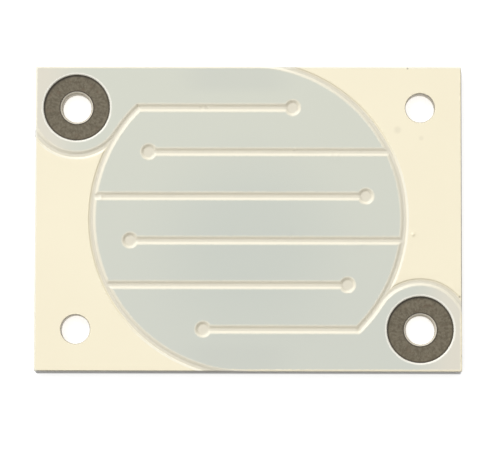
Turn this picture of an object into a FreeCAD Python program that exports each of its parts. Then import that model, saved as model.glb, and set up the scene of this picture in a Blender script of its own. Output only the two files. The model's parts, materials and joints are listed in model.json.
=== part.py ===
import FreeCAD, Part
import math
import os

# Flat resistance heater of pyrolytic boron nitride.
# A thin ceramic base plate carries a meander cut from a layer of pyrolytic graphite, and a coat of
# the same ceramic is grown over both. The coat follows the relief below it, wraps the edges, the
# back and the four holes, and is ground open over two ring contacts.
# Millimetres. The plate lies on its back: X runs along its length, Y across its width, Z up out of
# the front face. The origin is the middle of the back face.

# Layers, from the back to the front
PLATE_THICKNESS = 1.8
COAT_THICKNESS = 0.24
TRACK_THICKNESS = 0.05
GROOVE_CUT = 0.10
FIELD_CUT = 0.03
BORE_COAT = 0.16
EDGE_ROUNDING = 0.10

# Heated disc, which the plate's long edges just cut
DISC_RADIUS = 13.2
DISC_PAST_EDGE = 0.3

# Meander: the parting grooves end in round relief holes, which stand TURN_ROOM inside the disc. The
# strip along each long edge is narrower than the others by EDGE_STRIP_TRIM
GROOVE_COUNT = 6
GAP_WIDTH = 0.72
RELIEF_DIA = 1.4
TURN_ROOM = 3.1
EDGE_STRIP_TRIM = 0.11

# Ring contacts and screw holes
HOLE_DIA = 2.44
CONTACT_DIA = 5.6
CONTACT_BORDER = 0.90
LONG_EDGE_LAND = 0.725
SHORT_EDGE_LAND = 0.7
CONTACT_CHAMFER = 0.15
WINDOW_SKIM = 0.01

# Sizes that follow from the ones above
PLATE_WIDTH = 2 * (DISC_RADIUS - DISC_PAST_EDGE)
HOLE_Y = PLATE_WIDTH / 2 - LONG_EDGE_LAND - CONTACT_DIA / 2
CONTACT_GROOVE_RADIUS = CONTACT_DIA / 2 + CONTACT_BORDER + GAP_WIDTH / 2
HOLE_X = math.sqrt((DISC_RADIUS + CONTACT_GROOVE_RADIUS) ** 2 - HOLE_Y ** 2)
PLATE_LENGTH = 2 * (HOLE_X + CONTACT_DIA / 2 + SHORT_EDGE_LAND)
BASE_LENGTH = PLATE_LENGTH - 2 * COAT_THICKNESS
BASE_WIDTH = PLATE_WIDTH - 2 * COAT_THICKNESS
TRACK_TOP = PLATE_THICKNESS - COAT_THICKNESS
BASE_TOP = TRACK_TOP - TRACK_THICKNESS
BASE_BOTTOM = COAT_THICKNESS
GROOVE_FLOOR = BASE_TOP - GROOVE_CUT + COAT_THICKNESS
CONTACT_FACE = TRACK_TOP - WINDOW_SKIM
BASE_HOLE_DIA = HOLE_DIA + 2 * BORE_COAT
STRIP_ROOM = BASE_WIDTH - GROOVE_COUNT * GAP_WIDTH
STRIP_WIDTH = (STRIP_ROOM + 2 * EDGE_STRIP_TRIM) / (GROOVE_COUNT + 1)
GROOVE_PITCH = STRIP_WIDTH + GAP_WIDTH
GROOVE_END_RADIUS = DISC_RADIUS - TURN_ROOM

# Places in plan: contacts in two opposite corners, plain mounting holes in the other two
CONTACT = FreeCAD.Vector(-HOLE_X, HOLE_Y, 0)
MOUNTING_HOLE = FreeCAD.Vector(-HOLE_X, -HOLE_Y, 0)
FAR = 2 * PLATE_LENGTH


def upright_box(length, width, z_low, z_high):
    """A box centred on the origin in plan."""
    corner = FreeCAD.Vector(-length / 2, -width / 2, z_low)
    return Part.makeBox(length, width, z_high - z_low, corner)


def post(radius, centre, z_low, z_high):
    """A round post standing at a place in plan."""
    foot = FreeCAD.Vector(centre.x, centre.y, z_low)
    return Part.makeCylinder(radius, z_high - z_low, foot)


def prism(corners, z_low, z_high):
    """A prism over a polygon in plan."""
    points = [FreeCAD.Vector(x, y, z_low) for x, y in corners]
    face = Part.Face(Part.makePolygon(points + points[:1]))
    return face.extrude(FreeCAD.Vector(0, 0, z_high - z_low))


def half_turn(shape):
    """A copy turned 180 degrees about the plate's middle: the whole pattern repeats that way."""
    twin = shape.copy()
    twin.rotate(FreeCAD.Vector(0, 0, 0), FreeCAD.Vector(0, 0, 1), 180)
    return twin


def both(shape):
    """A shape and its half-turned twin."""
    return [shape, half_turn(shape)]


def cut_all(body, tools):
    """Cut a list of tools from a body."""
    for tool in tools:
        body = body.cut(tool)
    return body


def groove_rows():
    """Y of each parting groove, from the front face's upper edge down."""
    first = GROOVE_PITCH * (GROOVE_COUNT - 1) / 2
    return [first - GROOVE_PITCH * index for index in range(GROOVE_COUNT)]


def chord(radius, y):
    """Half the width of a circle about the plate's middle, at a height Y."""
    return math.sqrt(radius ** 2 - y ** 2)


def straight_groove(index, y, width, relief_dia, z_low, z_high):
    """One parting groove: from the disc's rim to a round relief hole, from either side in turn."""
    side = 1 if index % 2 else -1
    rim = FreeCAD.Vector(side * chord(DISC_RADIUS, y), y, 0)
    end = FreeCAD.Vector(-side * chord(GROOVE_END_RADIUS, y), y, 0)
    low = min(rim.x, end.x)
    high = max(rim.x, end.x)
    slot = Part.makeBox(high - low, width, z_high - z_low, FreeCAD.Vector(low, y - width / 2, z_low))
    return slot.fuse([post(width / 2, rim, z_low, z_high), post(relief_dia / 2, end, z_low, z_high)])


def disc_rim_groove(width, z_low, z_high):
    """The rim groove on one side of the disc, from the first parting groove to the long edge."""
    top = groove_rows()[0]
    corner_x = -chord(DISC_RADIUS, top)
    middle = FreeCAD.Vector(0, 0, 0)
    ring = post(DISC_RADIUS + width / 2, middle, z_low, z_high)
    ring = ring.cut(post(DISC_RADIUS - width / 2, middle, z_low, z_high))
    reach = FAR / DISC_RADIUS
    sector = [(0, 0), (corner_x * reach, top * reach), (-FAR, -FAR), (0, -FAR)]
    return ring.common(prism(sector, z_low, z_high))


def contact_groove(width, z_low, z_high):
    """The groove round the inner side of a contact: it touches the disc's rim and leaves the plate
    at the short edge."""
    ring = post(CONTACT_GROOVE_RADIUS + width / 2, CONTACT, z_low, z_high)
    ring = ring.cut(post(CONTACT_GROOVE_RADIUS - width / 2, CONTACT, z_low, z_high))
    sector = [(CONTACT.x, CONTACT.y), (0, 0), (0, -FAR), (-FAR, -FAR), (-FAR, CONTACT.y)]
    return ring.common(prism(sector, z_low, z_high))


def groove_network(width, relief_dia, z_low, z_high):
    """Every parting groove as one tool, at a chosen width and depth."""
    parts = []
    for index, y in enumerate(groove_rows()):
        parts.append(straight_groove(index, y, width, relief_dia, z_low, z_high))
    parts += both(disc_rim_groove(width, z_low, z_high))
    parts += both(contact_groove(width, z_low, z_high))
    network = parts[0]
    for part in parts[1:]:
        network = network.fuse(part)
    return network.removeSplitter()


def bare_field(z_low, z_high):
    """The corner field without graphite, outside the disc and the contact, round a mounting hole."""
    outline = [(CONTACT.x, CONTACT.y), (0, 0), (0, -FAR), (-FAR, -FAR), (-FAR, CONTACT.y)]
    field = prism(outline, z_low, z_high)
    field = field.cut(post(DISC_RADIUS, FreeCAD.Vector(0, 0, 0), z_low, z_high))
    return field.cut(post(CONTACT_GROOVE_RADIUS, CONTACT, z_low, z_high))


def hole_tools(dia, z_low, z_high):
    """Posts for the four holes."""
    radius = dia / 2
    return both(post(radius, CONTACT, z_low, z_high)) + both(post(radius, MOUNTING_HOLE, z_low, z_high))


def make_base_plate():
    """The ceramic plate, its front ground away under the bare fields and the parting grooves."""
    plate = upright_box(BASE_LENGTH, BASE_WIDTH, BASE_BOTTOM, BASE_TOP)
    plate = cut_all(plate, both(bare_field(BASE_TOP - FIELD_CUT, TRACK_TOP)))
    plate = plate.cut(groove_network(GAP_WIDTH, RELIEF_DIA, BASE_TOP - GROOVE_CUT, TRACK_TOP))
    return cut_all(plate, hole_tools(BASE_HOLE_DIA, 0, PLATE_THICKNESS))


def contact_windows():
    """Tools that grind the coat away over the contacts, and just skim the graphite."""
    return both(post(CONTACT_DIA / 2, CONTACT, CONTACT_FACE, PLATE_THICKNESS + 1))


def make_graphite_track():
    """The graphite layer that is left: one serpentine strip with a ring contact at each end."""
    layer = upright_box(BASE_LENGTH, BASE_WIDTH, BASE_TOP, TRACK_TOP)
    layer = cut_all(layer, both(bare_field(BASE_BOTTOM, PLATE_THICKNESS)))
    layer = layer.cut(groove_network(GAP_WIDTH, RELIEF_DIA, BASE_BOTTOM, PLATE_THICKNESS))
    return cut_all(layer, hole_tools(BASE_HOLE_DIA, 0, PLATE_THICKNESS) + contact_windows())


def bevel(height, side, place):
    """A wall of the coat's relief, seen in section: a bevel from the groove's floor up to the level
    beside it. The sharp edge below the coat lies at a height, and at a place across the groove. The
    bevel's foot is where a layer grown evenly round that edge comes down to the floor."""
    reach = math.sqrt(COAT_THICKNESS ** 2 - (GROOVE_FLOOR - height) ** 2)
    return (place - side * reach, GROOVE_FLOOR), (place, height + COAT_THICKNESS)


def relief_section(left_height, right_height, left, right):
    """The section cut away over a groove, as a face in the XZ plane: a flat floor between two bevels.
    Each bevel is given by the height and the place of the sharp edge below it."""
    left_foot, left_top = bevel(left_height, -1, left)
    right_foot, right_top = bevel(right_height, 1, right)
    above = PLATE_THICKNESS + 1
    corners = [left_foot, right_foot, right_top, (right, above), (left, above), left_top]
    points = [FreeCAD.Vector(x, 0, z) for x, z in corners]
    return Part.Face(Part.makePolygon(points + points[:1]))


def relief_dish(radius, place):
    """The relief over a round hole in the graphite: a flat floor with a bevel all round."""
    foot, top = bevel(TRACK_TOP, 1, radius)
    floor = FreeCAD.Vector(place.x, place.y, GROOVE_FLOOR)
    return Part.makeCone(foot[0], top[0], top[1] - foot[1], floor)


def relief_arc(section, centre, radius, start, sweep):
    """A relief section carried along an arc about a centre in plan, from a start angle, in degrees."""
    section.translate(FreeCAD.Vector(radius, 0, 0))
    section.rotate(FreeCAD.Vector(0, 0, 0), FreeCAD.Vector(0, 0, 1), start)
    section.translate(centre)
    return section.revolve(centre, FreeCAD.Vector(0, 0, 1), sweep)


def coat_relief():
    """Everything cut from the coat's flat front, where it sinks into the grooves below it."""
    half = GAP_WIDTH / 2
    field_base = BASE_TOP - FIELD_CUT
    centre = FreeCAD.Vector(0, 0, 0)
    tools = []
    for index, y in enumerate(groove_rows()):
        side = 1 if index % 2 else -1
        rim_x = side * chord(DISC_RADIUS, y)
        end = FreeCAD.Vector(-side * chord(GROOVE_END_RADIUS, y), y, 0)
        section = relief_section(TRACK_TOP, TRACK_TOP, -half, half)
        section.rotate(centre, FreeCAD.Vector(0, 0, 1), 90)
        section.translate(FreeCAD.Vector(min(rim_x, end.x), y, 0))
        tools.append(section.extrude(FreeCAD.Vector(abs(rim_x - end.x), 0, 0)))
        tools.append(relief_dish(RELIEF_DIA / 2, end))
    corner = FreeCAD.Vector(-chord(DISC_RADIUS, groove_rows()[0]), groove_rows()[0], 0)
    corner_angle = math.degrees(math.atan2(corner.y, corner.x))
    meeting_angle = math.degrees(math.atan2(CONTACT.y, CONTACT.x))
    tools += both(relief_dish(half, corner))
    between_strips = relief_section(TRACK_TOP, TRACK_TOP, -half, half)
    sweep = meeting_angle - corner_angle
    tools += both(relief_arc(between_strips, centre, DISC_RADIUS, corner_angle, sweep))
    beside_field = relief_section(TRACK_TOP, field_base, -half, half)
    sweep = 270 - meeting_angle
    tools += both(relief_arc(beside_field, centre, DISC_RADIUS, meeting_angle, sweep))
    round_contact = relief_section(TRACK_TOP, field_base, -half, half)
    start = meeting_angle - 180
    sweep = -180 - start
    tools += both(relief_arc(round_contact, CONTACT, CONTACT_GROOVE_RADIUS, start, sweep))
    return tools


def coat_outside():
    """The coat's outer form: slightly rounded edges, and a front that sinks over the relief below."""
    block = upright_box(PLATE_LENGTH, PLATE_WIDTH, 0, PLATE_THICKNESS)
    block = block.makeFillet(EDGE_ROUNDING, block.Edges)
    field = PLATE_THICKNESS - TRACK_THICKNESS - FIELD_CUT
    block = cut_all(block, both(bare_field(field, PLATE_THICKNESS + 1)))
    return cut_all(block, coat_relief())


def make_overcoat(base_plate, graphite_track):
    """The ceramic coat, with a round window over each contact and a lining in each hole."""
    coat = coat_outside()
    coat = coat.cut(base_plate).cut(graphite_track)
    coat = cut_all(coat, contact_windows())
    coat = cut_all(coat, hole_tools(HOLE_DIA, -1, PLATE_THICKNESS + 1))
    foot = FreeCAD.Vector(CONTACT.x, CONTACT.y, CONTACT_FACE - CONTACT_CHAMFER)
    countersink = Part.makeCone(HOLE_DIA / 2, HOLE_DIA / 2 + CONTACT_CHAMFER, CONTACT_CHAMFER, foot)
    return cut_all(coat, both(countersink)).removeSplitter()


base_plate = make_base_plate()
graphite_track = make_graphite_track()
overcoat = make_overcoat(base_plate.copy(), graphite_track.copy())

os.makedirs("parts", exist_ok=True)
base_plate.exportStep("parts/base_plate.step")
graphite_track.exportStep("parts/graphite_track.step")
overcoat.exportStep("parts/overcoat.step")
for name, shape in zip(("base", "track", "coat"), (base_plate, graphite_track, overcoat)):
    print(name, "solids", len(shape.Solids), "valid", shape.isValid(), "volume", round(shape.Volume, 3))
print("plate", round(PLATE_LENGTH, 3), "by", round(PLATE_WIDTH, 3))
print("holes at", round(HOLE_X, 3), round(HOLE_Y, 3))
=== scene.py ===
import functools
import json
import math
from collections import namedtuple

import bmesh
import bpy
import numpy as np
from mathutils import Euler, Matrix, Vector
from mathutils.geometry import delaunay_2d_cdt


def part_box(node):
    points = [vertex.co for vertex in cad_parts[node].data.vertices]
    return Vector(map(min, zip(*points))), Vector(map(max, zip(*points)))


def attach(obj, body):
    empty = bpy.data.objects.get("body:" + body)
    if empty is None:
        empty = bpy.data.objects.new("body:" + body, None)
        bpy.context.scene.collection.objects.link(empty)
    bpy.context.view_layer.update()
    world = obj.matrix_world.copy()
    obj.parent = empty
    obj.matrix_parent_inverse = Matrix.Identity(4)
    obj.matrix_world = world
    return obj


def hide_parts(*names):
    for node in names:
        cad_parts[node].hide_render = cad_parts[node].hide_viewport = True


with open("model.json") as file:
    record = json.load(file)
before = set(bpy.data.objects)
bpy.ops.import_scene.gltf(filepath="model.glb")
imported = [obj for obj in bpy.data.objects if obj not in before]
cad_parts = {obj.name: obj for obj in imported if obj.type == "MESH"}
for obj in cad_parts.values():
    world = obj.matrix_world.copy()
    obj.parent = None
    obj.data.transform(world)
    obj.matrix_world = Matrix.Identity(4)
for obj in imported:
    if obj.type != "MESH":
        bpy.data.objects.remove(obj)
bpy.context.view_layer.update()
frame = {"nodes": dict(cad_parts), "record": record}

# Base plate
# A thin plate of pyrolytic boron nitride, laid down from gas on a flat former and then machined.
# It is creamy white and a little waxy, and the coat grown over it hides it. Its own solid is kept.

mm = 0.001


class Output:
    """One output of a node in a material. Arithmetic on it adds Math nodes, and node() adds any other."""

    def __init__(self, tree, socket=None):
        self.tree = tree
        self.socket = socket

    def node(self, kind, settings, inputs, output=0):
        node = self.tree.nodes.new(kind)
        for name, value in settings.items():
            setattr(node, name, value)
        for name, value in inputs.items():
            if isinstance(value, Output):
                self.tree.links.new(value.socket, node.inputs[name])
            else:
                node.inputs[name].default_value = value
        return Output(self.tree, node.outputs[output])

    def math(self, operation, *others):
        return self.node("ShaderNodeMath", {"operation": operation}, dict(enumerate((self, *others))))

    def swapped(self, operation, other):
        return self.node("ShaderNodeMath", {"operation": operation}, {0: other, 1: self})

    def __add__(self, other):
        return self.math("ADD", other)

    def __sub__(self, other):
        return self.math("SUBTRACT", other)

    def __rsub__(self, other):
        return self.swapped("SUBTRACT", other)

    def __mul__(self, other):
        return self.math("MULTIPLY", other)

    def __truediv__(self, other):
        return self.math("DIVIDE", other)

    def __rtruediv__(self, other):
        return self.swapped("DIVIDE", other)

    def __gt__(self, other):
        return self.math("GREATER_THAN", other)

    def __lt__(self, other):
        return self.math("LESS_THAN", other)

    def __abs__(self):
        return self.math("ABSOLUTE")

    __radd__ = __add__
    __rmul__ = __mul__

    def least(self, other):
        return self.math("MINIMUM", other)

    def most(self, other):
        return self.math("MAXIMUM", other)

    def between(self, low, high):
        """0 below low, 1 above high, and a smooth step from one to the other."""
        return self.node("ShaderNodeMapRange", {"interpolation_type": "SMOOTHSTEP"},
                         {"Value": self, "From Min": low, "From Max": high})

    def blended(self, first, second):
        """This value as the factor of a mix of two colours."""
        return self.node("ShaderNodeMix", {"data_type": "RGBA"}, {0: self, 6: first, 7: second}, output=2)


def srgb(red, green, blue):
    """A colour as a screen shows it, from 0 to 255, as Blender's linear colour."""
    parts = [value / 255 for value in (red, green, blue)]
    linear = [p / 12.92 if p <= 0.04045 else ((p + 0.055) / 1.055) ** 2.4 for p in parts]
    return (*linear, 1.0)


class Finish:
    """A new material: its shader, the place on the object in millimetres, and the noise that it needs."""

    def __init__(self, name, **settings):
        self.material = bpy.data.materials.new(name)
        self.material.use_nodes = True
        tree = self.material.node_tree
        self.shader = tree.nodes["Principled BSDF"]
        for socket, value in settings.items():
            self.shader.inputs[socket.replace("_", " ")].default_value = value
        self.start = Output(tree)
        metres = self.start.node("ShaderNodeTexCoord", {}, {}, output="Object")
        self.place = self.start.node("ShaderNodeVectorMath", {"operation": "SCALE"},
                                     {0: metres, "Scale": 1 / mm})
        self.x = self.start.node("ShaderNodeSeparateXYZ", {}, {0: self.place})
        self.y, self.z = (Output(tree, self.x.socket.node.outputs[axis]) for axis in (1, 2))

    def noise(self, grain_mm, detail=3.0):
        """Noise from 0 to 1, with a grain of a size in millimetres."""
        inputs = {"Vector": self.place, "Scale": 1 / grain_mm, "Detail": detail}
        return self.start.node("ShaderNodeTexNoise", {}, inputs)

    def noise_over(self, across, along, up=0.0, detail=3.0):
        """Noise from 0 to 1 over three values of the surface's own, one grain to a unit of each."""
        place = self.start.node("ShaderNodeCombineXYZ", {}, {0: across, 1: along, 2: up})
        return self.start.node("ShaderNodeTexNoise", {}, {"Vector": place, "Scale": 1.0, "Detail": detail})

    def feed(self, socket, value):
        self.start.tree.links.new(value.socket, self.shader.inputs[socket])

    def bump(self, height, depth_mm):
        """Fine relief of a depth in millimetres."""
        inputs = {"Height": height, "Distance": depth_mm * mm, "Strength": 1.0}
        self.feed("Normal", self.start.node("ShaderNodeBump", {}, inputs))

    def dress(self, piece):
        piece.data.materials.clear()
        piece.data.materials.append(self.material)


ceramic = Finish("base_ceramic_finish", Roughness=0.55)
ceramic.feed("Base Color", ceramic.noise(grain_mm=1.2).blended(srgb(240, 231, 206), srgb(249, 241, 218)))
ceramic.bump(ceramic.noise(grain_mm=0.08), depth_mm=0.004)
ceramic.dress(frame["nodes"]["base_plate"])

# Graphite track
# A layer of pyrolytic graphite a twentieth of a millimetre thick, machined into one serpentine strip.
# It is bare only at its two ring contacts, where grinding the coat away left it brownish grey, with a
# turned grain and a few rusty blotches. Its outer rim, at the foot of the window's wall, is darkened with
# painted shade, and its inner rim is darker too. Its own solid is kept.

mounts = {mount["name"]: mount for mount in frame["record"]["mounts"]}
contact = Vector(mounts["contact_hole_a"]["pos_m"][:2])
window_radius = 2.8 * mm
ring_inner_radius = 1.38 * mm


def hypotenuse(across, along):
    return (across * across + along * along).math("SQRT")


graphite = Finish("graphite_finish", Roughness=0.42, Specular_IOR_Level=0.3)
half_turn_sign = graphite.y.math("SIGN")
ring_x = graphite.x * half_turn_sign - contact.x / mm
ring_y = abs(graphite.y) - contact.y / mm
ring_radius = hypotenuse(ring_x, ring_y)
turning = graphite.noise_over(ring_radius * 16.0, ring_y.math("ARCTAN2", ring_x) * 0.8, detail=4.0)
scuffs = graphite.noise_over(ring_x / ring_radius * 13.0, ring_y / ring_radius * 13.0, ring_radius * 4.0)
rust = graphite.noise(grain_mm=0.55, detail=4.0).between(0.56, 0.72)
cloud = graphite.noise(grain_mm=0.30, detail=2.0).between(0.30, 0.75)
dust = graphite.noise(grain_mm=0.06, detail=1.0).between(0.70, 0.78)
# Painted shade at the foot of the window's wall darkens the ring's outer rim.
shaded_outer_rim = ring_radius.between(window_radius / mm - 0.20, window_radius / mm - 0.08)
inner_rim = 1.0 - ring_radius.between(ring_inner_radius / mm + 0.05, ring_inner_radius / mm + 0.15)
bare_graphite = cloud.blended(srgb(89, 80, 61), srgb(112, 103, 83))
for share, mark in [(turning.between(0.35, 0.7) * 0.25, srgb(123, 114, 94)),
                    (scuffs.between(0.45, 0.62) * 0.50, srgb(127, 118, 98)),
                    (rust * 0.35, srgb(100, 76, 56)),
                    (dust * 0.5, srgb(176, 170, 150)),
                    (shaded_outer_rim.most(inner_rim) * 0.85, srgb(66, 58, 44))]:
    bare_graphite = share.blended(bare_graphite, mark)
graphite.feed("Base Color", bare_graphite)
graphite.feed("Roughness", turning * 0.16 + 0.36)
graphite.bump(turning, depth_mm=0.006)
graphite.dress(frame["nodes"]["graphite_track"])

# Overcoat
# The same ceramic, grown from gas over the plate and its track, a quarter of a millimetre thick. It is
# translucent, so the graphite below it shows as pale grey, and it follows every groove with rounded
# shoulders. It wraps the edges, the back and the holes, and is ground open over the two contacts.

half_length, half_width, plate_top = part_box("overcoat")[1]
track_low, track_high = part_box("graphite_track")
coat = plate_top - track_high.z
field_cut = 0.03 * mm
groove_cut = 0.10 * mm
field_top = track_low.z - field_cut + coat
groove_floor = track_low.z - groove_cut + coat
contact_face = mounts["contact_face_a"]["pos_m"][2]

disc_past_edge = 0.3 * mm
disc_radius = half_width + disc_past_edge
contact_groove_radius = contact.length - disc_radius
meeting_angle = math.atan2(contact.y, contact.x)
groove_count = 6
gap = 0.72 * mm
turn_room = 3.1 * mm
end_radius = disc_radius - turn_room
relief_radius = 0.70 * mm
relief_depth = 0.04 * mm
edge_strip_trim = 0.11 * mm
strip = (2 * track_high.y - groove_count * gap + 2 * edge_strip_trim) / (groove_count + 1)
pitch = strip + gap
wall_spread = 0.30 * mm
field_wall_spread = 0.12 * mm
field_wall_inset = 0.07 * mm
half_turns = [(0.0, contact), (math.pi, -contact)]

# The front's points lie on lines along each groove, close together over its shoulders, on loops round
# the outline, the holes and the windows, and on a sparse lattice elsewhere.
spacing = 0.12 * mm
steps_past = np.array([-0.20, -0.11, 0.0, 0.16, 0.31, 0.44, 0.56, 0.69, 0.84, 1.0, 1.16]) * wall_spread
lines_across = [*(gap / 2 - steps_past), *(steps_past - gap / 2), 0.0]


def shoulder(past, top, spread):
    """Height of the coat at a distance past a sharp edge below it: it falls in a soft double curve."""
    share = np.clip(past / spread, 0, 1)
    return groove_floor + (top - groove_floor) * (1 + np.cos(np.pi * share)) / 2


def within_arc(x, y, start, end):
    """Which points lie between two angles about the origin."""
    slack = 1e-7
    return np.mod(np.arctan2(y, x) - start + slack, 2 * np.pi) <= end - start + 2 * slack


def in_bare_field(x, y):
    """Which points lie in a corner field with no graphite, outside the disc and the contacts."""
    found = np.zeros(len(x), bool)
    for turn, centre in half_turns:
        outside = np.hypot(x, y) > disc_radius
        outside &= np.hypot(x - centre.x, y - centre.y) > contact_groove_radius
        found |= outside & within_arc(x, y, meeting_angle + turn, 1.5 * math.pi + turn)
    return found


def line_points(length, step):
    return np.linspace(0, length, max(2, int(round(length / step)) + 1))


def circle(centre, radius, count):
    angle = np.linspace(0, 2 * np.pi, count, endpoint=False)
    return centre[0] + radius * np.cos(angle), centre[1] + radius * np.sin(angle)


class StraightGroove(namedtuple("StraightGroove", "start end row")):
    """A parting groove along the plate, between two passes of the track."""

    def height(self, x, y):
        past = gap / 2 - np.hypot(x - np.clip(x, self.start, self.end), y - self.row)
        return np.where(past >= 0, shoulder(past, plate_top, wall_spread), plate_top)

    def lines(self):
        along = self.start + line_points(self.end - self.start, spacing)
        return [(along, np.full(len(along), self.row + across)) for across in lines_across]


class ReliefHole(namedtuple("ReliefHole", "x y radius")):
    """A round hole at a groove's end, sunk a little deeper than the groove."""

    def height(self, x, y):
        past = self.radius - np.hypot(x - self.x, y - self.y)
        height = shoulder(past, plate_top, wall_spread)
        height = height - relief_depth * (plate_top - height) / (plate_top - groove_floor)
        return np.where(past >= 0, height, plate_top)

    def lines(self):
        count = int(2 * np.pi * self.radius / (0.8 * spacing))
        past_edge = [*steps_past, 0.7 * self.radius]
        return [circle((self.x, self.y), self.radius - past, count) for past in past_edge]


class ArcGroove(namedtuple("ArcGroove", "x y radius start end")):
    """A groove round the disc or a contact. Its outer wall is low where it meets a bare field."""

    def height(self, x, y):
        out = np.hypot(x - self.x, y - self.y) - self.radius
        on_arc = within_arc(x - self.x, y - self.y, self.start, self.end) & (gap / 2 >= abs(out))
        inner_wall = shoulder(gap / 2 + out, plate_top, wall_spread)
        field_wall = shoulder(gap / 2 - field_wall_inset - out, field_top, field_wall_spread)
        plain_wall = shoulder(gap / 2 - out, plate_top, wall_spread)
        outer_wall = np.where(in_bare_field(x, y), field_wall, plain_wall)
        return np.where(on_arc, np.maximum(inner_wall, outer_wall), plate_top)

    def lines(self):
        angle = self.start + line_points((self.end - self.start) * self.radius, spacing) / self.radius
        radii = [self.radius + across for across in lines_across]
        return [(self.x + radius * np.cos(angle), self.y + radius * np.sin(angle)) for radius in radii]


def chord(radius, y):
    """Half the width of a circle about the plate's middle, at a height y."""
    return math.sqrt(radius ** 2 - y ** 2)


rows = [pitch * (groove_count - 1) / 2 - pitch * index for index in range(groove_count)]
straights = []
reliefs = []
for index, row in enumerate(rows):
    side = 1 if index % 2 else -1
    rim_x, end_x = side * chord(disc_radius, row), -side * chord(end_radius, row)
    straights.append(StraightGroove(min(rim_x, end_x), max(rim_x, end_x), row))
    reliefs.append(ReliefHole(end_x, row, relief_radius))
corner = (-chord(disc_radius, rows[0]), rows[0])
corner_angle = math.atan2(corner[1], corner[0])
bends = [ReliefHole(*corner, gap / 2), ReliefHole(-corner[0], -corner[1], gap / 2)]
arcs = []
for turn, centre in half_turns:
    arcs.append(ArcGroove(0.0, 0.0, disc_radius, corner_angle + turn, meeting_angle + turn))
    arcs.append(ArcGroove(0.0, 0.0, disc_radius, meeting_angle + turn, 1.5 * math.pi + turn))
    arcs.append(ArcGroove(*centre, contact_groove_radius, turn - math.pi, meeting_angle + turn - math.pi))
grooves = straights + reliefs + bends + arcs


def relief_height(x, y):
    """Height of the coat's front over its whole width, before its edges are rounded."""
    height = np.where(in_bare_field(x, y), field_top, plate_top)
    for groove in grooves:
        height = np.minimum(height, groove.height(x, y))
    return height


edge_rounding = 0.10 * mm


def edge_distance(x, y):
    """How far a point lies inside the plate's outline, whose corners are rounded like its edges."""
    over_x = np.abs(x) - (half_length - edge_rounding)
    over_y = np.abs(y) - (half_width - edge_rounding)
    outside = np.hypot(np.clip(over_x, 0, None), np.clip(over_y, 0, None))
    return edge_rounding - outside - np.minimum(np.maximum(over_x, over_y), 0)


def rounding(inside, radius):
    """How far a rounded edge has dropped, at a distance inside it."""
    return radius - np.sqrt(np.clip(radius ** 2 - np.clip(radius - inside, 0, None) ** 2, 0, None))


hole_radius = mounts["contact_hole_a"]["dims"]["r_mm"] * mm
hole_rounding = 0.06 * mm
window_rounding = 0.12 * mm
screw_holes = [mounts[name]["pos_m"][:2] for name in ("mounting_hole_a", "mounting_hole_b")]
contact_holes = [mounts[name]["pos_m"][:2] for name in ("contact_hole_a", "contact_hole_b")]

# Small chips in the front, and beads of ceramic that stand up from it, with places and sizes in millimetres.
Fleck = namedtuple("Fleck", "x y size depth")
flecks = [Fleck(-4.0, 9.33, 0.16, 0.04), Fleck(-3.4, 9.40, 0.12, -0.03), Fleck(3.9, 5.85, 0.16, -0.03),
          Fleck(13.9, -1.36, 0.20, -0.07), Fleck(-9.3, 9.5, 0.14, 0.03), Fleck(-12.4, 1.78, 0.26, -0.07),
          Fleck(7.03, 5.42, 0.16, -0.035), Fleck(7.59, 5.42, 0.17, -0.035), Fleck(9.20, -2.05, 0.17, -0.035),
          Fleck(3.61, -1.55, 0.14, 0.03)]


def front_height(x, y):
    """Height of the coat's front, with its flecks, and rounded at the outline, the holes and the windows."""
    height = relief_height(x, y) - rounding(edge_distance(x, y), edge_rounding)
    for places, rim, radius in [(screw_holes, hole_radius, hole_rounding),
                                (contact_holes, window_radius, window_rounding)]:
        for centre_x, centre_y in places:
            height = height - rounding(np.hypot(x - centre_x, y - centre_y) - rim, radius)
    for fleck in flecks:
        off = ((x - fleck.x * mm) ** 2 + (y - fleck.y * mm) ** 2) / (fleck.size * mm) ** 2
        height = height - fleck.depth * mm * np.exp(-off * 2)
    return height


def outline_loop(inside, rounded=True):
    """The plate's outline, moved inwards, as arrays of x and y, anticlockwise."""
    far_x, far_y = half_length - edge_rounding, half_width - edge_rounding
    edge_x, edge_y = half_length - inside, half_width - inside
    side_x = line_points(2 * far_x, spacing) - far_x
    side_y = line_points(2 * far_y, spacing) - far_y
    sides = [(side_x, np.full(len(side_x), -edge_y)), (np.full(len(side_y), edge_x), side_y),
             (side_x[::-1], np.full(len(side_x), edge_y)), (np.full(len(side_y), -edge_x), side_y[::-1])]
    corners = [(far_x, -far_y), (far_x, far_y), (-far_x, far_y), (-far_x, -far_y)]
    bend = np.linspace(0, np.pi / 2, 9)[1:-1] if rounded else np.array([])
    radius = max(edge_rounding - inside, 0)
    loop = []
    for number, (side, (corner_x, corner_y)) in enumerate(zip(sides, corners)):
        angle = (number - 1) * np.pi / 2 + bend
        loop += [side, (corner_x + radius * np.cos(angle), corner_y + radius * np.sin(angle))]
    return tuple(np.concatenate(parts) for parts in zip(*loop))


def rim_rings(centre, start, width, count):
    """Circles across a rounded rim, from just past its inner edge to the flat beyond it."""
    across = [width * (1 - math.cos(t * math.pi / 2)) for t in np.linspace(0, 1, 6)[1:]]
    beyond = [width + 0.05 * mm, width + 0.15 * mm]
    return [circle(centre, start + out, count) for out in across + beyond]


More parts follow.
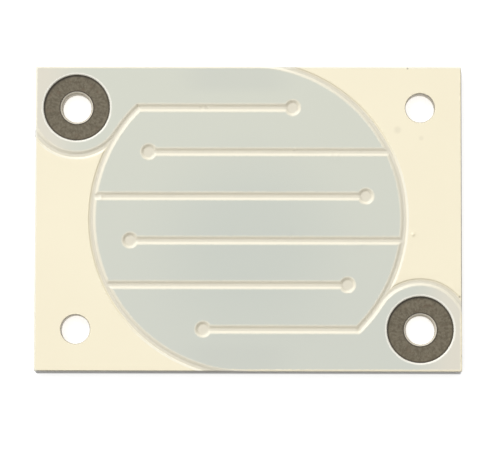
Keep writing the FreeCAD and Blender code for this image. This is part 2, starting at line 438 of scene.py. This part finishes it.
hole_count = 112
window_count = 240
rounding_steps = edge_rounding * (1 - np.cos(np.linspace(0, np.pi / 2, 7)))
outline = outline_loop(0)
fixed_loops = [outline]
fixed_loops += [circle(centre, hole_radius, hole_count) for centre in screw_holes]
fixed_loops += [circle(centre, window_radius, window_count) for centre in contact_holes]
loose = [outline_loop(inside) for inside in rounding_steps[1:]]
loose.append(outline_loop(edge_rounding + 0.05 * mm, rounded=False))
for centre in screw_holes:
    loose += rim_rings(centre, hole_radius, hole_rounding, hole_count)
for centre in contact_holes:
    loose += rim_rings(centre, window_radius, window_rounding, window_count)
for fleck in flecks:
    for share in (0.0, 0.3, 0.6, 0.9, 1.3):
        loose.append(circle((fleck.x * mm, fleck.y * mm), (fleck.size * share + 0.001) * mm, count=18))
height_slack = 0.0005 * mm
outline_margin = 0.01 * mm
for groove in grooves:
    x, y = (np.concatenate(parts) for parts in zip(*groove.lines()))
    deepest_here = groove.height(x, y) <= relief_height(x, y) + height_slack
    deepest_here &= edge_distance(x, y) > outline_margin
    loose.append((x[deepest_here], y[deepest_here]))


def thinned(points, cell):
    """One point from each small square, the first where there are several."""
    columns, rows_up = np.round(points / cell).astype(np.int64).T
    more_than_rows = 1000003
    first = np.unique(columns * more_than_rows + rows_up, return_index=True)[1]
    return points[np.sort(first)]


def on_front(points):
    """Points that lie on the front, clear of the fixed loops."""
    clearance = 0.003 * mm
    x, y = points[:, 0], points[:, 1]
    keep = edge_distance(x, y) > clearance
    for places, rim in [(screw_holes, hole_radius), (contact_holes, window_radius)]:
        for centre in places:
            keep &= np.hypot(x - centre[0], y - centre[1]) > rim + clearance
    return points[keep]


def lattice(low_x, low_y, high_x, high_y, step):
    x, y = np.meshgrid(np.arange(low_x, high_x, step), np.arange(low_y, high_y, step))
    return np.stack([x.ravel(), y.ravel()], 1)


closest_allowed = 0.014 * mm
sparse_step = 0.55 * mm
bare_cell = 0.3 * mm
close = on_front(thinned(np.concatenate([np.stack(loop, 1) for loop in loose]), closest_allowed))
sparse = on_front(lattice(-half_length, -half_width, half_length, half_width, sparse_step))
taken = set(map(tuple, np.round(close / bare_cell).astype(int)))
sparse = sparse[[tuple(cell) not in taken for cell in np.round(sparse / bare_cell).astype(int)]]


def triangulated(loops, points):
    """A flat sheet of triangles inside the first loop and outside the others, through the points."""
    places = [Vector(p) / mm for p in np.concatenate([np.stack(loop, 1) for loop in loops])]
    edges = []
    start = 0
    for loop in loops:
        count = len(loop[0])
        edges += [(start + i, start + (i + 1) % count) for i in range(count)]
        start += count
    places += [Vector(p) / mm for p in points]
    found, _edges, faces, *_rest = delaunay_2d_cdt(places, edges, [], 1, 1e-7, False)
    flat = np.array([(p.x, p.y) for p in found]) * mm
    faces = np.array([face for face in faces if len(face) == 3])
    middle = flat[faces].mean(1)
    keep = np.ones(len(faces), bool)
    for loop in loops[1:]:
        centre_x, centre_y = np.mean(loop[0]), np.mean(loop[1])
        radius = math.hypot(loop[0][0] - centre_x, loop[1][0] - centre_y)
        keep &= np.hypot(middle[:, 0] - centre_x, middle[:, 1] - centre_y) > radius
    return flat, faces[keep]


class Shell:
    """A mesh put together from sheets and bands, whose shared edges are joined at the end."""

    def __init__(self):
        self.places = []
        self.faces = []
        self.count = 0

    def add(self, places, faces):
        self.places.append(np.asarray(places, float))
        self.faces += (np.asarray(faces) + self.count).tolist()
        self.count += len(places)

    def band(self, loops):
        """Walls between closed loops of the same number of points, each an array of places."""
        count = len(loops[0])
        faces = []
        for level in range(len(loops) - 1):
            lower, upper = level * count, (level + 1) * count
            for i in range(count):
                j = (i + 1) % count
                faces.append((lower + i, lower + j, upper + j, upper + i))
        self.add(np.concatenate(loops), faces)

    def mesh(self, name, join):
        mesh = bpy.data.meshes.new(name)
        mesh.from_pydata(np.concatenate(self.places).tolist(), [], self.faces)
        work = bmesh.new()
        work.from_mesh(mesh)
        bmesh.ops.remove_doubles(work, verts=work.verts, dist=join)
        bmesh.ops.dissolve_degenerate(work, dist=join, edges=work.edges)
        bmesh.ops.recalc_face_normals(work, faces=work.faces)
        work.to_mesh(mesh)
        work.free()
        mesh.shade_smooth()
        return mesh


def raised(loop, height):
    """A flat loop as places at a height, or at a height of its own for each point."""
    x, y = loop
    return np.stack([x, y, np.broadcast_to(height, x.shape)], 1)


shell = Shell()
flat, faces = triangulated(fixed_loops, np.concatenate([close, sparse]))
shell.add(raised(flat.T, front_height(*flat.T)), faces)

# The sides, down to the rounded edges of the back.
wall_top = front_height(*outline)
wall = [raised(outline, wall_top), raised(outline, (wall_top + edge_rounding) / 2),
        raised(outline, edge_rounding)]
wall += [raised(outline_loop(inside), rounding(inside, edge_rounding)) for inside in rounding_steps[1:]]
shell.band(wall)

# The hole walls. A screw hole's drops straight from the front. A contact's starts at the window's rim,
# runs in under the graphite, comes up inside the ring and goes down through a small bevel.
back_rounding = 0.06 * mm
bevel = 0.15 * mm
under_graphite = track_low.z + 0.01 * mm
back_rim = [(hole_radius + back_rounding * (1 - math.cos(t * math.pi / 2)),
             back_rounding * (1 - math.sin(t * math.pi / 2))) for t in np.linspace(0, 1, 5)]
back_loops = [outline_loop(edge_rounding, rounded=False)]
for centre in screw_holes:
    rim = circle(centre, hole_radius, hole_count)
    lining = [raised(rim, front_height(*rim)), raised(rim, plate_top * 0.5)]
    lining += [raised(circle(centre, radius, hole_count), height) for radius, height in back_rim]
    shell.band(lining)
    back_loops.append(circle(centre, hole_radius + back_rounding, hole_count))
for centre in contact_holes:
    rim = circle(centre, window_radius, window_count)
    profile = [(ring_inner_radius, under_graphite), (ring_inner_radius, contact_face),
               (hole_radius + bevel, contact_face), (hole_radius, contact_face - bevel),
               (hole_radius, plate_top * 0.4)] + back_rim
    lining = [raised(rim, front_height(*rim)), raised(rim, contact_face), raised(rim, under_graphite)]
    lining += [raised(circle(centre, radius, window_count), height) for radius, height in profile]
    shell.band(lining)
    back_loops.append(circle(centre, hole_radius + back_rounding, window_count))

# The back is plain. Its points lie well inside its edges and clear of its holes.
back_step = 2.0 * mm
back_margin = 1.0 * mm
back_clearance = 0.4 * mm
back_points = lattice(back_step - half_length, back_step - half_width,
                      half_length - back_margin, half_width - back_margin, back_step)
for centre in screw_holes + contact_holes:
    away = np.hypot(back_points[:, 0] - centre[0], back_points[:, 1] - centre[1])
    back_points = back_points[away > hole_radius + back_clearance]
flat, faces = triangulated(back_loops, back_points)
shell.add(raised(flat.T, 0.0), faces[:, ::-1])

overcoat = bpy.data.objects.new("grown_overcoat", shell.mesh("grown_overcoat", join=0.0015 * mm))
bpy.context.scene.collection.objects.link(overcoat)

# The coat's colour comes from what lies below it: cream over ceramic, grey over the graphite, and painted
# highlights and shade are laid over that. Each mask is a soft step over a distance in millimetres. The
# pattern repeats after a half turn, so every place is folded onto the plate's upper half first.
cream = Finish("coat_ceramic_finish", Roughness=0.36, Specular_IOR_Level=0.5)
upper = cream.y.math("SIGN")
u = cream.x * upper
v = abs(cream.y)
contact_u, contact_v = contact / mm
to_middle = hypotenuse(u, v)
to_contact = hypotenuse(u - contact_u, v - contact_v)
off_disc = to_middle - disc_radius / mm
off_contact = to_contact - contact_groove_radius / mm
past_meeting = v * -contact_u + u * contact_v

# The distance to the nearest groove's edge is less than nothing inside a groove.
half_gap = gap / mm / 2
far_off = 50.0
groove_edges = []
for groove, hole in list(zip(straights, reliefs))[:groove_count // 2]:
    past_end = u - u.most(groove.start / mm).least(groove.end / mm)
    groove_edges.append(hypotenuse(past_end, v - groove.row / mm) - half_gap)
    groove_edges.append(hypotenuse(u - hole.x / mm, v - hole.y / mm) - hole.radius / mm)
past_corner = (v * (-corner[0] / mm) + u * (corner[1] / mm) > 0) * (u < 0)
groove_edges.append(abs(off_disc) - half_gap + past_corner * far_off)
past_contact = (past_meeting > 0).most(v > contact_v)
groove_edges.append(abs(off_contact) - half_gap + past_contact * far_off)
off_groove = functools.reduce(Output.least, groove_edges)
bare_field = (off_disc > 0) * (off_contact > 0) * (u > 0).most(past_meeting < 0)
off_track = (track_high.x / mm - abs(cream.x)).least(track_high.y / mm - v)

front = cream.z.between(plate_top / mm / 2, (contact_face - bevel) / mm)
ripple = (cream.noise(grain_mm=0.35, detail=2.0) - 0.5) * 0.10
over_graphite = (off_groove + ripple * 0.5).between(-0.09, 0.10) * (off_track + ripple).between(-0.17, 0.0)
over_graphite = over_graphite * (1.0 - bare_field) * front

towards_top = cream.y.between(-half_width / mm, half_width / mm)
thick_middle = 1.0 - hypotenuse(cream.x, cream.y + 2.5).between(2.0, 11.0)
by_long_edge = v.between(10.2, 11.4) * (1.0 - abs(cream.x + 1.0).between(2.0, 6.0))
beside_contact = 1.0 - (u + half_length / mm).between(0.6, 4.5)
beside_contact = beside_contact * (v - contact_v + 6.0).between(0.0, 3.0)
grey = towards_top.blended(srgb(210, 212, 199), srgb(215, 216, 200))
for share, tint in [(thick_middle * 0.7, srgb(201, 205, 194)), (by_long_edge * 0.4, srgb(201, 203, 192)),
                    (beside_contact * 0.9, srgb(228, 221, 203))]:
    grey = share.blended(grey, tint)

# A groove's floor is darkened with painted shade. Its low wall on a bare field's side has a painted
# highlight where it faces the window light and painted shade where it turns away.
window_place = (-0.75, 1.11, 1.28)
from_window = -Vector(window_place[:2]).normalized()
disc_facing = (cream.x * from_window.x + cream.y * from_window.y) / to_middle
contact_facing = ((u - contact_u) * from_window.x + (v - contact_v) * from_window.y) * upper / to_contact
facing = disc_facing + (contact_facing - disc_facing) * (abs(off_contact) < abs(off_disc))
on_wall = (1.0 - off_groove.between(-0.02, 0.05)) * (1.0 - bare_field) * front
# Painted shade darkens the groove floor.
shaded_floor = (1.0 - off_groove.between(-0.27, -0.16)) * front
field_wall = (off_groove.between(-0.24, -0.16) - off_groove.between(-0.06, 0.04)) * bare_field * front
# Painted shade on the field-side wall where it turns away from the window light.
shaded_turned_away = (1.0 - off_groove.between(-0.16, -0.08)) * bare_field * front
shaded_turned_away = shaded_turned_away * (1.0 - facing.between(-0.35, 0.0))
# A painted highlight: a pale ring round each window, where its rounded rim catches the light.
window_rim_highlight = (1.0 - to_contact.between(window_radius / mm + 0.10, window_radius / mm + 0.22)) * front

# The sides and the hole walls are darkened with painted shade, a brownish grey.
rounded_x, rounded_y = (half_length - edge_rounding) / mm, (half_width - edge_rounding) / mm
far_side = cream.y.between(rounded_y - 0.3, rounded_y)
far_side = far_side.most(1.0 - cream.x.between(-rounded_x, 0.3 - rounded_x))
# Painted highlight along the rounded top edge of the far and left sides, which face the window light.
far_rim_highlight = far_side * (1.0 - off_track.between(-0.12, -0.05)) * front
# On the far and left sides the painted shade starts lower, under their painted highlight.
under_top = cream.z + far_side * edge_rounding / mm - plate_top / mm
shaded_side = (1.0 - off_track.between(-0.21, -0.17)) * (1.0 - under_top.between(-0.09, -0.01))
to_hole = to_contact.least(hypotenuse(u + contact_u, v - contact_v)) - hole_radius / mm
shaded_lining = 1.0 - to_hole.between(0.02, 0.08)
on_bevel = (to_contact > hole_radius / mm + 0.01) * (to_contact < ring_inner_radius / mm + 0.02) * front

coat_colour = cream.noise(grain_mm=6.0, detail=2.0).blended(srgb(250, 239, 208), srgb(254, 244, 213))
for share, tint in [(on_wall, srgb(248, 241, 220)), (shaded_floor * 0.9, srgb(224, 217, 197)),
                    # Painted highlight: the field-side wall is whitened where it faces the window light.
                    (field_wall * facing.between(0.0, 0.35) * 0.8, srgb(255, 250, 232)),
                    (shaded_turned_away * 0.4, srgb(213, 203, 178)), (over_graphite, grey),
                    (window_rim_highlight, srgb(252, 248, 234)), (far_rim_highlight * 0.8, srgb(252, 248, 232)),
                    (shaded_side * 0.9, srgb(80, 75, 63)), (shaded_lining * 0.9, srgb(172, 162, 143)),
                    (on_bevel * 0.8, srgb(216, 206, 186))]:
    coat_colour = share.blended(coat_colour, tint)

Stain = namedtuple("Stain", "x y size strength")
for stain in [Stain(12.6, 7.5, 0.45, 0.18), Stain(14.6, 6.8, 0.3, 0.14), Stain(13.45, 12.72, 0.12, 0.8),
              Stain(17.8, -6.6, 0.14, 0.8), Stain(-3.6, 9.4, 0.22, 0.25)]:
    off_stain = hypotenuse(cream.x - stain.x, cream.y - stain.y)
    share = (1.0 - off_stain.between(stain.size * 0.2, stain.size)) * stain.strength * front
    coat_colour = share.blended(coat_colour, srgb(176, 168, 146))
grain = cream.noise(grain_mm=0.09)
dulled = cream.start.node("ShaderNodeMix", {"data_type": "RGBA", "blend_type": "MULTIPLY"},
                          {0: 1.0, 6: coat_colour, 7: srgb(246, 246, 245)}, output=2)
cream.feed("Base Color", ((grain - 0.5) * 0.22 + 0.5).blended(dulled, coat_colour))
cream.feed("Roughness", grain * 0.12 + 0.30)
cream.bump(grain, depth_mm=0.004)
cream.dress(overcoat)
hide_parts("overcoat")
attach(overcoat, "root")

# Table
# The heater lies on its back on a pale sheet of paper that glows, so that it shows as white. The glow
# is cut off in a thin strip under the plate's near edge, where a painted shadow is left grey.

table_half = 1.5
table_top = -0.02 * mm
table_mesh = bpy.data.meshes.new("table")
table_corners = [(x * table_half, y * table_half) for x, y in ((-1, -1), (1, -1), (1, 1), (-1, 1))]
table_mesh.from_pydata([(x, y, table_top) for x, y in table_corners], [], [(0, 1, 2, 3)])
table = bpy.data.objects.new("table", table_mesh)
bpy.context.scene.collection.objects.link(table)
paper = Finish("table_finish", Roughness=0.9, Specular_IOR_Level=0.1, Emission_Strength=0.6)
paper.feed("Base Color", paper.noise(grain_mm=40.0).blended(srgb(250, 250, 250), srgb(254, 254, 254)))
before_edge = -half_width / mm - paper.y
painted_shadow_band = before_edge.between(-0.5, -0.4) - before_edge.between(0.05, 0.17)
painted_shadow_band = painted_shadow_band * (1.0 - abs(paper.x).between(rounded_x, half_length / mm))
paper.feed("Emission Color", painted_shadow_band.blended(srgb(255, 255, 255), srgb(0, 0, 0)))
paper.dress(table)

# Lights and camera
# One broad soft light stands beyond the plate's upper left, like a window, and a weaker one hangs
# overhead in a pale room. The camera looks almost straight down, from a little before the middle.

room = bpy.data.worlds.new("room")
room.use_nodes = True
room.node_tree.nodes["Background"].inputs["Color"].default_value = (1, 1, 1, 1)
room.node_tree.nodes["Background"].inputs["Strength"].default_value = 0.30
bpy.context.scene.world = room


def soft_light(name, place, size, power, tint=(1.0, 1.0, 1.0)):
    """A square area light that faces the plate."""
    light = bpy.data.lights.new(name, "AREA")
    light.size = size
    light.energy = power
    light.color = tint
    lamp = bpy.data.objects.new(name, light)
    lamp.location = place
    lamp.rotation_euler = (-Vector(place)).to_track_quat("-Z", "Y").to_euler()
    bpy.context.scene.collection.objects.link(lamp)


soft_light("window_light", window_place, size=0.9, power=25.4, tint=(0.98, 1.0, 1.05))
soft_light("overhead_light", (0.0, 0.05, 1.8), size=1.2, power=7.6)

lens = bpy.data.cameras.new("camera")
lens.sensor_width = 36.0
lens.lens = 249.2
lens.clip_start = 0.01
camera = bpy.data.objects.new("camera", lens)
camera.location = Vector((4.06, -27.97, 290.0)) * mm + Vector((0, 0, plate_top))
camera.rotation_euler = Euler([math.radians(angle) for angle in (5.397, 0.753, 0.154)], "XYZ")
bpy.context.scene.collection.objects.link(camera)
bpy.context.scene.camera = camera
bpy.context.scene.view_settings.view_transform = "Standard"
